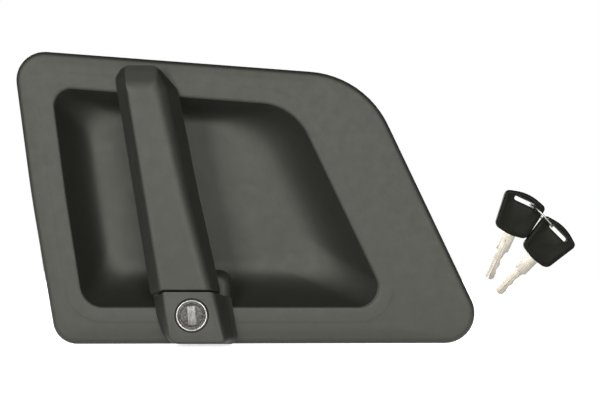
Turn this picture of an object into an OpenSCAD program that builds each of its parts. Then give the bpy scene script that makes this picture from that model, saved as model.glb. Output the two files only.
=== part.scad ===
// Pull-type exterior door handle of a truck cab: a moulded plate with a hand pocket,
// a leaning bar grip hinged at its top end, a key lock below the grip, and two keys.
// +Z is up the door, the outside face looks towards -Y, and the door skin is the plane y = 0.
// Lengths below start at the middle of the plate; the finished part's origin is the middle of
// the four studs beside the grip.

/* [Plate] */
// Height of the plate along its left edge
plate_height = 207.3; // [200:0.1:215]
// Width of the plate along its top edge
plate_top_width = 248; // [240:0.5:256]
// Width of the plate along its bottom edge
plate_bottom_width = 306; // [298:0.5:312]
// Sideways slant of the left edge from top to bottom
plate_slant = 31.5; // [28:0.5:34]
// Drop of the top edge from left to right
plate_top_drop = 18.7; // [16:0.1:21]
// Outward bulge of the left edge
plate_bulge = 2; // [0.5:0.1:3]
// Height of the plate's front above the door skin
plate_depth = 8; // [7:0.5:10]
// Wall thickness of the moulding
wall = 3; // [2.5:0.1:3.5]
// Width of the flat band around the pocket
band_width = 10; // [8:0.5:11]
// Fall of the plate's outer border behind the flat band
border_fall = 1; // [0.6:0.1:1.4]

/* [Pocket] */
// Height of the pocket's mouth along its left edge
pocket_height = 154.2; // [150:0.1:158]
// Width of the pocket's mouth along its top edge
pocket_top_width = 170; // [164:0.5:176]
// Width of the pocket's mouth along its bottom edge
pocket_bottom_width = 215; // [208:0.5:218]
// Sideways slant of the pocket's left edge
pocket_slant = 22.5; // [20:0.5:25]
// Drop of the pocket's top edge from left to right
pocket_top_drop = 13; // [11:0.5:15]
// Depth of the pocket's floor below the plate's front
pocket_depth = 38; // [34:1:40]

/* [Grip] */
// Lean of the grip from the vertical, in degrees
grip_lean = 11.9; // [11:0.1:13]
// Distance of the grip's face from the door skin
grip_front = 30; // [28:0.5:33]
// Distance of the grip's back from the door skin
grip_rear = 10.6; // [10.4:0.1:11]
// Width of the grip's face at its top end
grip_top_width = 24; // [22:0.5:26]
// Width of the grip's face at its bottom end
grip_bottom_width = 35; // [33:0.5:37]

/* [Lock] */
// Outer radius of the lock's bright ring
lock_radius = 10.9; // [10.6:0.1:11.2]
// Radius of the turning plug
plug_radius = 7; // [6.8:0.1:7.2]
// Length of the lock's output lever from its axis to the rod eye
lock_lever_length = 25; // [20:0.5:28]
// Radius of the lock rod eye
lock_eye_radius = 2.1; // [1.8:0.1:2.5]

/* [Mechanism] */
// Length of the grip's inner lever behind its hinge
lever_reach = 36; // [34:1:38]
// Length of the crank's input arm
crank_input = 24; // [22:0.5:26]
// Length of the crank's output arm
crank_output = 30; // [26:1:34]
// Radius of the latch rod eye
latch_eye_radius = 2.6; // [2:0.1:3]
// Radius of the grip's hinge pin
pivot_radius = 3; // [2.5:0.1:3.2]

/* [Fixing] */
// Radius of the mounting studs
stud_radius = 3; // [2.5:0.5:3.5]
// Free length of a mounting stud behind the plate
stud_length = 18; // [14:1:22]

/* [Keys] */
// Length of the key blade that shows outside the bow
key_blade_length = 34; // [31:0.5:36]
// Width of the key bow
key_bow_width = 31; // [28:0.5:32]

/* [Hidden] */

$fn = 48;
eps = 0.01;
corner_steps = 8;
small_steps = 4;

// Corners run top left, top right, bottom right, bottom left, middle of the left edge
plate_left = -164.4;
plate_top = 105.1;
plate_bottom = plate_top - plate_height;
plate_corners = [
    [plate_left, plate_top],
    [plate_left + plate_top_width, plate_top - plate_top_drop],
    [plate_left + plate_slant + plate_bottom_width, plate_bottom + 0.7],
    [plate_left + plate_slant, plate_bottom],
    [plate_left + plate_slant / 2 - plate_bulge, plate_top - plate_height / 2]
];
plate_radii = [20, 66, 21, 17, 900];

pocket_left = -136.1;
pocket_top = 78.2;
pocket_bottom = pocket_top - pocket_height;
pocket_corners = [
    [pocket_left, pocket_top],
    [pocket_left + pocket_top_width, pocket_top - pocket_top_drop],
    [pocket_left + pocket_slant + pocket_bottom_width, pocket_bottom],
    [pocket_left + pocket_slant, pocket_bottom],
    [pocket_left + pocket_slant / 2 - plate_bulge / 2, pocket_top - pocket_height / 2]
];
pocket_radii = [12, 40, 14, 16, 900];
// Run of each pocket wall from its lip to the floor: top, right, bottom, left, left
pocket_runs = [18, 46, 34, 26, 26];
pocket_rings = 7;
floor_y = pocket_depth - plate_depth;

// The grip's hinge, and the corners of its face and of its wider back
pivot = [-72, 9, 86];
grip_end_z = -62.8;
face_top_z = 77;
cap_top_z = 92;
face_left_top = -81.5;
face_left_bottom = -57.8;
back_left_top = -90.3;
back_right_top = -46.9;
back_left_bottom = -66.4;
back_right_bottom = -16.6;
grip_wall = 3;
back_plate = 3;
screw_stations = [-20, -38, -84, -132];
arm_half_width = 6;

// The lock's axis, and the block that carries its head
lock_x = -36.2;
lock_z = -80.2;
cover_split = 1.3;

// Fall of the grip's lower end per millimetre of depth from its face, and the share of the
// grip's length at which the sections start to slant
end_slant = 0.2;
slant_share = 0.8;
slant_top_z = face_top_z - slant_share * (face_top_z - grip_end_z);
grip_middle_heights = [slant_top_z, -1, 36, face_top_z - 2];
// Fall of the grip's face over its rounded top end
cap_fall = 7;
tower_radius = 15;
tower_end = 12;
cover_screw_points = [[-57, -71], [-18.5, -71]];
pedestal = [[-69, -51.5], [-11.6, -51.5], [-9, -80], [-63.5, -80]];
pedestal_front = -6;

// The four studs around the lock side, then the two at the right
stud_points = [[-122, 84], [-16, 84], [-122, -89], [-16, -89], [100, 12], [100, -89]];

stud_middle = [-69, 0, -2.5];

// The crank lies in the leaned plane at the tip of the grip's inner lever
tip_radius = 4;
crank_lead = 9;
crank_gap = 0.3;
crank_pin_x = crank_input * cos(crank_lead);
crank_pin_z = -2 * tip_radius - crank_gap - crank_input * sin(crank_lead);
crank_thickness = 5;
bracket_y = floor_y + 2 * wall;
bracket_thickness = 2.5;
bracket_screw_points = [[13, -29], [34, -27]];

// Where each key lies: bow centre, lean of its blade and distance in front of the skin
key_places = [[[191.8, -10.4], 25, 8], [[212.6, -30.4], 45, 8.6]];
key_thickness = 2.4;
ring_centre = [207.4, -5, -11.8];
ring_turn = 46.7;
ring_radius = 11;
bow_thickness = 7;

function unit(v) = v / norm(v);

// Points of one rounded corner at b, between its neighbours a and c
function corner(a, b, c, r, n) =
    let (
        u = unit(a - b),
        w = unit(c - b),
        half = acos(u * w) / 2,
        centre = b + unit(u + w) * (r / sin(half)),
        first = b + u * (r / tan(half)) - centre,
        last = b + w * (r / tan(half)) - centre,
        from = atan2(first[1], first[0]),
        turn = atan2(last[1], last[0]) - from,
        sweep = turn > 180 ? turn - 360 : turn < -180 ? turn + 360 : turn
    )
    [for (i = [0:n]) centre + r * [cos(from + sweep * i / n), sin(from + sweep * i / n)]];

// Outline of a polygon whose corners have their own radii
function rounded(points, radii, n = corner_steps) =
    let (count = len(points))
    [for (k = [0:count - 1])
        each corner(points[(k + count - 1) % count], points[k], points[(k + 1) % count], radii[k], n)];

// Polygon with each edge k (from corner k to the next) moved inwards by runs[k]; corners clockwise
function inset(points, runs) =
    let (count = len(points))
    [for (k = [0:count - 1])
        let (
            before = unit(points[k] - points[(k + count - 1) % count]),
            after = unit(points[(k + 1) % count] - points[k]),
            n1 = [before[1], -before[0]],
            n2 = [after[1], -after[0]],
            d1 = runs[(k + count - 1) % count],
            d2 = runs[k],
            det = n1[0] * n2[1] - n1[1] * n2[0]
        )
        points[k] + [d1 * n2[1] - d2 * n1[1], d2 * n1[0] - d1 * n2[0]] / det];

function evenly(points, run) = inset(points, [for (p = points) run]);
function shrunk(radii, run) = [for (r = radii) max(r - run, 2)];

// An outline in X and Z placed at a depth y
function at_depth(outline, y) = [for (p = outline) [p[0], y, p[1]]];

// Solid through rings of equal point counts, closed by flat caps
module loft(rings) {
    count = len(rings[0]);
    last = len(rings) - 1;
    points = [for (ring = rings) each ring];
    sides = [
        for (i = [0:last - 1])
            for (j = [0:count - 1])
                let (a = i * count + j, b = i * count + (j + 1) % count)
                each [[a, b, b + count], [a, b + count, a + count]]
    ];
    polyhedron(
        points,
        concat(
            sides,
            [[for (j = [count - 1:-1:0]) j]],
            [[for (j = [0:count - 1]) last * count + j]]
        ),
        convexity = 8
    );
}

// Flat outline in X and Z, thickened from y0 to y1
module slab(outline, y0, y1) {
    translate([0, y1, 0])
        rotate([90, 0, 0])
            linear_extrude(y1 - y0)
                polygon(outline);
}

// Cylinder along Y from y0 to y1 at x and z
module rod(x, z, r, y0, y1) {
    translate([x, y1, z])
        rotate([90, 0, 0])
            cylinder(r = r, h = y1 - y0);
}

// Ring around an axis along Y
module ring(x, z, outer, inner, y0, y1) {
    difference() {
        rod(x, z, outer, y0, y1);
        rod(x, z, inner, y0 - 1, y1 + 1);
    }
}

// Frame of the grip: origin on its hinge, local Z along the grip, local X along the hinge
module leaned() {
    translate(pivot)
        rotate([0, -grip_lean, 0])
            children();
}

// Cylinder along the hinge from x0 to x1
module axle(r, x0, x1) {
    translate([x0, 0, 0])
        rotate([0, 90, 0])
            cylinder(r = r, h = x1 - x0);
}

// One turn of spring wire around the local Z axis
module wire_turn(mean_radius, wire_radius) {
    rotate_extrude()
        translate([mean_radius, 0])
            circle(wire_radius, $fn = 16);
}

// ---- Plate, pocket and lock block -----------------------------------------------------------

// Rings of the pocket's surface from its floor to its lip, grown outwards by skin
function pocket_surface(skin) =
    [for (i = [pocket_rings:-1:0])
        let (
            s = i / pocket_rings,
            runs = [for (run = pocket_runs) run * s - skin],
            depth = 1 - pow(1 - s, 3)
        )
        at_depth(
            rounded(inset(pocket_corners, runs), [for (r = pocket_radii) r + skin + 6 * s]),
            -plate_depth + (skin > 0 ? 1 : 0) + (pocket_depth + (skin > 0 ? skin - 1 : 0)) * depth
        )];

module plate_outer() {
    edge = [[0, 0], [0, 0.5], [1.2, 0.82], [3.4, 1]];
    border_front = plate_depth - border_fall;
    band = evenly(pocket_corners, -band_width);
    loft(concat(
        [for (step = edge)
            at_depth(
                rounded(evenly(plate_corners, step[0]), shrunk(plate_radii, step[0])),
                -border_front * step[1]
            )],
        [at_depth(rounded(band, [for (r = pocket_radii) r + band_width]), -plate_depth)]
    ));
}

module plate_hollow() {
    outline = rounded(evenly(plate_corners, wall), shrunk(plate_radii, wall));
    slab(outline, -plate_depth + border_fall + wall, 1);
}

module plate_ribs() {
    intersection() {
        slab(rounded(evenly(plate_corners, wall - 1), shrunk(plate_radii, wall)), -5, -1.2);
        union() {
            for (x = [-110:32:130])
                translate([x, -5, -110])
                    cube([1.8, 5, 220]);
            for (z = [-60, -20, 20, 60])
                translate([-170, -5, z])
                    cube([350, 5, 1.8]);
        }
    }
}

module hinge_lugs() {
    lug_inner = 13;
    lug_width = 4;
    for (side = [-1, 1])
        leaned()
            translate([side * (lug_inner + lug_width / 2) - lug_width / 2, 0, 0]) {
                axle(5.5, 0, lug_width);
                translate([0, -pivot[1] - 5, -5.5])
                    cube([lug_width, pivot[1] + 5, 11]);
            }
}

module bracket_bosses() {
    for (p = bracket_screw_points)
        leaned()
            rod(p[0], p[1], 5, floor_y - 12 - pivot[1], bracket_y - pivot[1]);
}

// Space that the pocket's walls and floor enclose, with the walls themselves
module bowl_envelope() {
    loft(pocket_surface(wall));
}

// Free space of the pocket inside its walls
module mouth() {
    loft(pocket_surface(0));
}

// Way through the plate and the bowl for the grip's arm
module arm_slot() {
    leaned()
        translate([-arm_half_width - 1, -plate_depth - pivot[1] - 1, -9.6])
            cube([2 * arm_half_width + 2, plate_depth + 1, 13]);
}

// Solid block behind the grip's lower end, and the round tower around the lock
module block_outside() {
    intersection() {
        slab(rounded(pedestal, [10, 10, 6, 6], small_steps), pedestal_front, floor_y + wall);
        bowl_envelope();
    }
    rod(lock_x, lock_z, tower_radius, -plate_depth + 1.5, tower_end);
}

module cover_screw_holes() {
    for (p = cover_screw_points)
        rod(p[0], p[1], 2.2, -plate_depth - 1, pedestal_front + wall + 1);
}

// Flat skin with its rim, stiffening ribs, stud seats and the lugs of the grip's hinge
module plate() {
    color([0.40, 0.40, 0.385])
    difference() {
        union() {
            difference() {
                plate_outer();
                plate_hollow();
            }
            plate_ribs();
            hinge_lugs();
            for (p = stud_points)
                rod(p[0], p[1], 5.5, -5, -0.6);
        }
        bowl_envelope();
        mouth();
        rod(lock_x, lock_z, tower_radius, -plate_depth + 1.5, tower_end);
        rod(lock_x, lock_z, 10.6, -plate_depth - 1, tower_end + 1);
        cover_screw_holes();
        for (p = stud_points)
            rod(p[0], p[1], 4.5, -3, 0);
        arm_slot();
        leaned()
            axle(pivot_radius, -20, 20);
    }
}

module pocket_bowl() {
    color([0.40, 0.40, 0.385])
    difference() {
        union() {
            bowl_envelope();
            bracket_bosses();
        }
        mouth();
        slab(rounded(pedestal, [10, 10, 6, 6], small_steps), pedestal_front, floor_y + 2 * wall);
        rod(lock_x, lock_z, tower_radius, -plate_depth, tower_end);
        rod(lock_x, lock_z, tower_radius + 1.5, tower_end, floor_y + 2 * wall);
        cover_screw_holes();
        arm_slot();
        leaned()
            for (p = bracket_screw_points)
                rod(p[0], p[1], 1.95, bracket_y - pivot[1] - 10, bracket_y - pivot[1] + 1);
    }
}

module lock_block() {
    color([0.40, 0.40, 0.385])
    difference() {
        block_outside();
        // Room behind the block's front wall, around the lock's tower
        difference() {
            slab(rounded(evenly(pedestal, wall), [7, 7, 4, 4], small_steps),
                 pedestal_front + wall, floor_y + 2 * wall);
            rod(lock_x, lock_z, tower_radius, -plate_depth, tower_end);
        }
        rod(lock_x, lock_z, tower_radius + 1.5, tower_end, floor_y + 2 * wall);
        rod(lock_x, lock_z, 10.6, -plate_depth - 1, tower_end + 1);
        cover_screw_holes();
    }
}

module plate_gasket() {
    near = 3.3;
    far = 7;
    color([0.10, 0.10, 0.10])
    difference() {
        slab(rounded(evenly(plate_corners, near), shrunk(plate_radii, near)), -1.2, 1);
        slab(rounded(evenly(plate_corners, far), shrunk(plate_radii, far)), -2, 2);
        for (p = stud_points)
            rod(p[0], p[1], 7, -3, 3);
        translate([-143, -3, -56])
            cube([12, 6, 26]);
        leaned()
            for (side = [-1, 1])
                translate([side * 15 - 2.5, -pivot[1] - 3, -6])
                    cube([5, 6, 12]);
    }
}

module mounting_studs() {
    color([0.75, 0.74, 0.70])
    for (p = stud_points) {
        rod(p[0], p[1], 4.5, -3, -0.6);
        rod(p[0], p[1], stud_radius, -0.6, stud_length);
    }
}

// Spring clip that straddles the plate's left rim
module edge_clip() {
    strip = [
        [5.2, -3.9], [5.2, 1.2], [1.2, 1.2], [-0.6, 4], [-1.6, 8], [-0.6, 12],
        [0.8, 12], [-0.2, 8], [0.6, 4.4], [2, 2.4], [6.4, 2.4], [6.4, -3.9]
    ];
    color([0.30, 0.30, 0.30])
    translate([-143.6, 0, -43])
        rotate([0, -8.6, 0])
            translate([0, 0, -8.5])
                linear_extrude(17)
                    polygon(strip);
}

// ---- Grip ----------------------------------------------------------------------------------

function mix(a, b, t) = a + (b - a) * t;

// Share of the way down the grip's straight length at height z
function grip_share(z) = (face_top_z - z) / (face_top_z - grip_end_z);

function face_left(z) = mix(face_left_top, face_left_bottom, grip_share(z));
function face_right(z) =
    mix(face_left_top + grip_top_width, face_left_bottom + grip_bottom_width, grip_share(z));
function back_left(z) = mix(back_left_top, back_left_bottom, grip_share(z));

// Right edge of the grip's back, which bows inwards at mid height
function back_right(z) =
    let (t = grip_share(z))
    mix(back_right_top, back_right_bottom, t) - 2.5 * sin(180 * min(max(t, 0), 1));

// Horizontal section of the grip at height z, made smaller all round by skin and carried on
// behind the grip's back by tail
function grip_section(z, skin, tail) =
    let (
        cap = max(z - face_top_z, 0) / (cap_top_z - face_top_z),
        left = face_left(z) - cap,
        right = face_right(z) - cap,
        rear_left = back_left(z) + 6.5 * cap * cap,
        rear_right = back_right(z) - 9 * cap,
        front = -grip_front + cap_fall * pow(cap, 1.3),
        more = tail / (-grip_rear - front),
        slant = end_slant * max(grip_share(z) - slant_share, 0) / (1 - slant_share)
    )
    [for (p = rounded(
        [[mix(rear_left, left, -more) + skin, -grip_rear + tail],
         [mix(rear_right, right, -more) - skin, -grip_rear + tail],
         [right - skin, front + skin], [left + skin, front + skin]],
        [1, 1.5, 4.5, 3], small_steps))
        [p[0], p[1], z - slant * (p[1] + grip_front)]];

module grip_cover() {
    shared = concat(grip_middle_heights, [face_top_z + 3, face_top_z + 9]);
    heights = concat([grip_end_z], shared, [cap_top_z - 2, cap_top_z]);
    hollow_heights = concat([grip_end_z + grip_wall], shared, [cap_top_z - grip_wall]);
    boss_radius = 4.5;
    screw_radius = 2;
    color([0.40, 0.40, 0.385])
    difference() {
        union() {
            difference() {
                loft([for (z = heights) grip_section(z, z == cap_top_z ? 1.5 : 0, 0)]);
                loft([for (z = hollow_heights) grip_section(z, grip_wall, 3)]);
            }
            cover_bosses(boss_radius, 1);
        }
        cover_bosses(screw_radius, 4);
    }
}

// Rods of radius r from depth behind the grip's face, for the two lower screws of its back plate
module cover_bosses(r, depth) {
    leaned()
        for (i = [2, 3])
            rod(0, screw_stations[i], r, depth - grip_front - pivot[1],
                -grip_rear - back_plate - pivot[1]);
}

// Outline of the grip's back plate in X and Z, inside the cover's slanting walls by gap
function back_outline(gap) =
    let (
        skin = grip_wall + gap,
        rise = back_plate / (grip_front - grip_rear),
        low = grip_end_z + skin,
        high = face_top_z + 4,
        heights = [face_top_z - 2, 36, -1, slant_top_z, low]
    )
    concat(
        [[mix(back_left(high), face_left(high), rise) + skin + 2, high],
         [mix(back_right(high), face_right(high), rise) - skin - 5, high]],
        [for (z = heights) [mix(back_right(z), face_right(z), rise) - skin, z]],
        [[mix(back_left(low), face_left(low), rise) + skin, low]]
    );

module grip_back() {
    color([0.16, 0.16, 0.16])
    difference() {
        slab(back_outline(0.9), -grip_rear - back_plate, -grip_rear);
        leaned() {
            for (z = screw_stations)
                rod(0, z, 2.2, -grip_rear - back_plate - pivot[1] - 1, -grip_rear - pivot[1] + 1);
            for (z = screw_stations)
                rod(0, z, 4, -grip_rear - pivot[1] - 1.6, -grip_rear - pivot[1] + 1);
            translate([-arm_half_width - 0.4, -grip_rear - back_plate - pivot[1] - 1, -9.4])
                cube([2 * arm_half_width + 0.8, back_plate + 2, 20]);
        }
    }
}

// Cast arm: pad inside the grip, neck through the plate, hinge boss and inner lever
module grip_arm() {
    pad_front = -grip_front - pivot[1] + 9;
    pad_rear = -grip_rear - back_plate - pivot[1];
    color([0.55, 0.55, 0.54])
    leaned()
        difference() {
            union() {
                translate([-arm_half_width, pad_front, -46])
                    cube([2 * arm_half_width, pad_rear - pad_front, 38]);
                translate([-arm_half_width, pad_rear - 4, -9])
                    cube([2 * arm_half_width, -pad_rear + 4, 8]);
                axle(6.5, -arm_half_width, arm_half_width);
                translate([-arm_half_width, 0, 0])
                    rotate([90, 0, 90])
                        linear_extrude(2 * arm_half_width)
                            polygon([[0, -6], [lever_reach, -2.5], [lever_reach, 2.5], [0, 6]]);
                translate([0, lever_reach, 0])
                    axle(tip_radius, -arm_half_width, 1);
            }
            axle(pivot_radius + 1.5, -20, 20);
            for (z = [screw_stations[0], screw_stations[1]])
                rod(0, z, 2, pad_front - 1, pad_rear + 1);
        }
}

module grip_screws() {
    head_y = -grip_rear - pivot[1];
    color([0.28, 0.28, 0.28])
    leaned()
        for (z = screw_stations)
            difference() {
                union() {
                    rod(0, z, 2, head_y - 12, head_y - 1.6);
                    rod(0, z, 3.8, head_y - 1.6, head_y);
                }
                rod(0, z, 1.6, head_y - 1, head_y + 1, $fn = 6);
            }
}

module pivot_pin() {
    color([0.72, 0.71, 0.68])
    leaned()
        axle(pivot_radius, -19, 19);
}

module pivot_bushes() {
    color([0.80, 0.78, 0.70])
    leaned()
        for (side = [0, 180])
            rotate([0, 0, side])
                difference() {
                    union() {
                        axle(pivot_radius + 1.5, 0.5, arm_half_width);
                        axle(pivot_radius + 2.5, arm_half_width, arm_half_width + 1);
                    }
                    axle(pivot_radius + 0.05, 0, arm_half_width + 2);
                }
}

module pivot_clips() {
    color([0.50, 0.50, 0.50])
    leaned()
        for (side = [0, 180])
            rotate([0, 0, side])
                difference() {
                    axle(5, 17.1, 18.1);
                    axle(pivot_radius, 16, 19);
                    translate([17, -1.5, -6])
                        cube([2, 3, 5]);
                }
}

module grip_spring() {
    wire = 0.8;
    color([0.45, 0.45, 0.46])
    leaned()
        for (side = [-1, 1])
            for (turn = [0:2])
                translate([side * (8.2 + turn * 1.7), 0, 0])
                    rotate([0, 90, 0])
                        wire_turn(4.6, wire);
}

module grip_bumpers() {
    color([0.08, 0.08, 0.08])
    for (x = [-50, -34])
        rod(x, -57.2, 4, -grip_rear + 0.3, pedestal_front);
}

// ---- Latch crank ---------------------------------------------------------------------------

module mechanism_bracket() {
    y0 = bracket_y - pivot[1];
    outline = [[10, -2], [32, -2], [41, -20], [39, -33], [30, -35], [18, -35], [7, -33], [9, -20]];
    color([0.70, 0.69, 0.64])
    leaned()
        difference() {
            union() {
                slab(rounded(outline, [4, 4, 6, 4, 6, 6, 4, 8], small_steps), y0, y0 + bracket_thickness);
                translate([10.5, y0 - 8, -4.5])
                    cube([21, 8 + eps, 2.5]);
            }
            rod(crank_pin_x, crank_pin_z, 4, y0 - 1, y0 + bracket_thickness + 1);
            for (p = bracket_screw_points)
                rod(p[0], p[1], 2.2, y0 - 1, y0 + bracket_thickness + 1);
        }
}

module bracket_screws() {
    y0 = bracket_y + bracket_thickness - pivot[1];
    color([0.72, 0.71, 0.68])
    leaned()
        for (p = bracket_screw_points)
            difference() {
                union() {
                    rod(p[0], p[1], 1.95, y0 - 12, y0);
                    rod(p[0], p[1], 3.8, y0, y0 + 2);
                }
                rod(p[0], p[1], 1.6, y0 + 1, y0 + 3, $fn = 6);
            }
}

// Arm of the crank from its hub to an eye or tip, in the crank's plane
module crank_arm(from, to, r0, r1, y0, y1) {
    along = unit(to - from);
    across = [along[1], -along[0]];
    slab([from + across * r0, to + across * r1, to - across * r1, from - across * r0], y0, y1);
    rod(from[0], from[1], r0, y0, y1);
    rod(to[0], to[1], r1, y0, y1);
}

module bell_crank() {
    hub = [crank_pin_x, crank_pin_z];
    tip = [0, -2 * tip_radius - crank_gap];
    eye = hub - [0, crank_output];
    y0 = lever_reach - crank_thickness / 2;
    y1 = lever_reach + crank_thickness / 2;
    color([0.62, 0.61, 0.58])
    leaned()
        difference() {
            union() {
                crank_arm(hub, tip, 3, tip_radius, y0, y1);
                crank_arm(hub, eye, 6, 5, y0, y1);
                rod(hub[0], hub[1], 6, bracket_y + bracket_thickness - pivot[1] + 0.2, y1);
            }
            rod(hub[0], hub[1], 4.05, y0 - 10, y1 + 1);
            rod(eye[0], eye[1], latch_eye_radius, y0 - 1, y1 + 1);
        }
}

module crank_pin() {
    color([0.72, 0.71, 0.68])
    leaned() {
        rod(crank_pin_x, crank_pin_z, 4, bracket_y - pivot[1], lever_reach + 5.5);
        rod(crank_pin_x, crank_pin_z, 6.5, bracket_y - pivot[1] - 2, bracket_y - pivot[1]);
    }
}

module crank_clip() {
    y0 = lever_reach + crank_thickness / 2 + 0.4;
    color([0.50, 0.50, 0.50])
    leaned()
        difference() {
            ring(crank_pin_x, crank_pin_z, 6.5, 4, y0, y0 + 1.2);
            translate([crank_pin_x - 2, y0 - 1, crank_pin_z - 8])
                cube([4, 4, 6]);
        }
}

module crank_spring() {
    y0 = bracket_y + bracket_thickness - pivot[1];
    color([0.45, 0.45, 0.46])
    leaned()
        for (turn = [0:1])
            translate([crank_pin_x, y0 + 1 + turn * 1.5, crank_pin_z])
                rotate([90, 0, 0])
                    wire_turn(7.1, 0.7);
}

// ---- Lock ----------------------------------------------------------------------------------

module lock_cover() {
    base_top = grip_end_z - cover_split - end_slant * (grip_front - plate_depth);
    base = [[-63.5, base_top], [-13, base_top], [-6.5, -102], [-57, -102]];
    face_top = grip_end_z - cover_split;
    face = [[-56.5, face_top], [-21.5, face_top], [-13, -98.5], [-51.5, -98.5]];
    shoulders = [[0, 0], [0.35, 0.45], [0.88, 0.9], [1, 1]];
    color([0.40, 0.40, 0.385])
    difference() {
        loft([for (step = shoulders)
            at_depth(
                rounded(
                    [for (k = [0:3]) mix(base[k], face[k], step[0])],
                    [2, 2, mix(8, 4, step[0]), mix(16, 7, step[0])],
                    small_steps
                ),
                mix(-plate_depth, -grip_front, step[1])
            )]);
        difference() {
            slab(rounded(evenly(face, 3), [3, 3, 3, 3], small_steps), -grip_front + 3, 0);
            rod(lock_x, lock_z, lock_radius + 2.3, -grip_front, 1);
        }
        rod(lock_x, lock_z, 10.6, -grip_front - 1, 1);
        rod(lock_x, lock_z, lock_radius + 0.5, -grip_front - 1, -grip_front + 2.5);
        for (p = cover_screw_points)
            rod(p[0], p[1], 1.95, -plate_depth - 9, 0);
    }
}

module cover_screws() {
    head_y = pedestal_front + wall;
    color([0.72, 0.71, 0.68])
    for (p = cover_screw_points)
        difference() {
            union() {
                rod(p[0], p[1], 1.95, head_y - 13, head_y);
                rod(p[0], p[1], 3.6, head_y, head_y + 2.2);
            }
            rod(p[0], p[1], 1.6, head_y + 1, head_y + 3, $fn = 6);
        }
}

module lock_housing() {
    color([0.62, 0.62, 0.61])
    difference() {
        union() {
            rod(lock_x, lock_z, 10.5, -grip_front + 2.5, 30);
            rod(lock_x, lock_z, lock_radius, -grip_front + 1, -grip_front + 2.5);
        }
        rod(lock_x, lock_z, plug_radius + 0.05, -grip_front - 1, 31);
    }
}

module lock_bezel() {
    color([0.85, 0.85, 0.82])
    translate([lock_x, 0, lock_z])
        rotate([90, 0, 0])
            rotate_extrude($fn = 64)
                polygon([
                    [lock_radius - 1.5, grip_front - 1],
                    [lock_radius, grip_front - 1],
                    [lock_radius, grip_front + 0.4],
                    [lock_radius - 0.5, grip_front + 1],
                    [lock_radius - 1.1, grip_front + 1],
                    [lock_radius - 1.5, grip_front + 0.4]
                ]);
}

module lock_nut() {
    color([0.70, 0.69, 0.64])
    difference() {
        rod(lock_x, lock_z, 15.5, tower_end, tower_end + 5, $fn = 6);
        rod(lock_x, lock_z, 10.5, tower_end - 1, tower_end + 6);
    }
}

shutter_width = 5.8;
shutter_height = 13.4;
shutter_tilt = -6;

// Outline of the shutter in the lock's face, grown by gap
module shutter_box(gap, y0, y1) {
    translate([lock_x, y0, lock_z])
        rotate([0, shutter_tilt, 0])
            translate([-shutter_width / 2 - gap, 0, -shutter_height / 2 - gap])
                cube([shutter_width + 2 * gap, y1 - y0, shutter_height + 2 * gap]);
}

module lock_face() {
    color([0.58, 0.57, 0.54])
    difference() {
        rod(lock_x, lock_z, lock_radius - 1.8, -grip_front - 0.3, -grip_front + 1 - eps);
        shutter_box(0.15, -grip_front - 1, -grip_front + 2);
    }
}

module lock_shutter() {
    color([0.66, 0.66, 0.63])
    difference() {
        shutter_box(0, -grip_front - 0.1, -grip_front + 0.9);
        translate([lock_x, 0, lock_z])
            rotate([0, shutter_tilt, 0])
                translate([-0.8, -grip_front - 1, -4.5])
                    cube([1.6, 1.4, 9]);
    }
}

wafer_rows = [for (k = [0:5]) -grip_front + 8 + k * 5];
wafer_thickness = 1.2;

module lock_plug() {
    color([0.76, 0.66, 0.42])
    difference() {
        union() {
            rod(lock_x, lock_z, plug_radius, -grip_front + 1, 31);
            translate([lock_x - 4, 31 - eps, lock_z - 4])
                cube([8, 6, 8]);
            rod(lock_x, lock_z, 3, 37 - 2 * eps, 42);
        }
        ring(lock_x, lock_z, plug_radius + 1, 6.2, 30.1, 30.1 + wafer_thickness - 0.4);
        translate([lock_x - 1.3, -grip_front, lock_z - 4.2])
            cube([2.6, 34, 8.4]);
        for (y = wafer_rows)
            translate([lock_x - 4, y, lock_z - 6])
                cube([8, wafer_thickness + 0.2, 12]);
    }
}

module lock_wafers() {
    color([0.80, 0.72, 0.45])
    for (y = wafer_rows)
        translate([lock_x, y + 0.1, lock_z])
            difference() {
                translate([-3.8, 0, -5.8])
                    cube([7.6, wafer_thickness, 11.6]);
                translate([-1.5, -1, -4.2])
                    cube([3, 4, 8.4]);
            }
}

module lock_clip() {
    color([0.50, 0.50, 0.50])
    difference() {
        ring(lock_x, lock_z, 9, 6.2, 30.1, 30.9);
        translate([lock_x - 3, 29, lock_z - 10])
            cube([6, 3, 8]);
    }
}

module lock_lever() {
    hub = [lock_x, lock_z];
    eye = hub + [lock_lever_length, 0];
    color([0.70, 0.69, 0.64])
    difference() {
        crank_arm(hub, eye, 8.5, 5, 34, 37);
        translate([lock_x - 4, 33, lock_z - 4])
            cube([8, 5, 8]);
        rod(eye[0], eye[1], lock_eye_radius, 33, 38);
    }
}

module lock_lever_nut() {
    color([0.72, 0.71, 0.68])
    difference() {
        union() {
            rod(lock_x, lock_z, 7, 37, 38);
            rod(lock_x, lock_z, 5.6, 38, 41.4, $fn = 6);
        }
        rod(lock_x, lock_z, 3, 36, 43);
    }
}

// ---- Keys ----------------------------------------------------------------------------------

// Frame of a key: origin at the bow's centre, the blade running down local -Z
module key_place(index) {
    place = key_places[index];
    translate([place[0][0], -place[2], place[0][1]])
        rotate([0, place[1], 0])
            children();
}

bow_bottom = -16.5;
bow_top = 16;
key_shoulder = 12;

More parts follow.
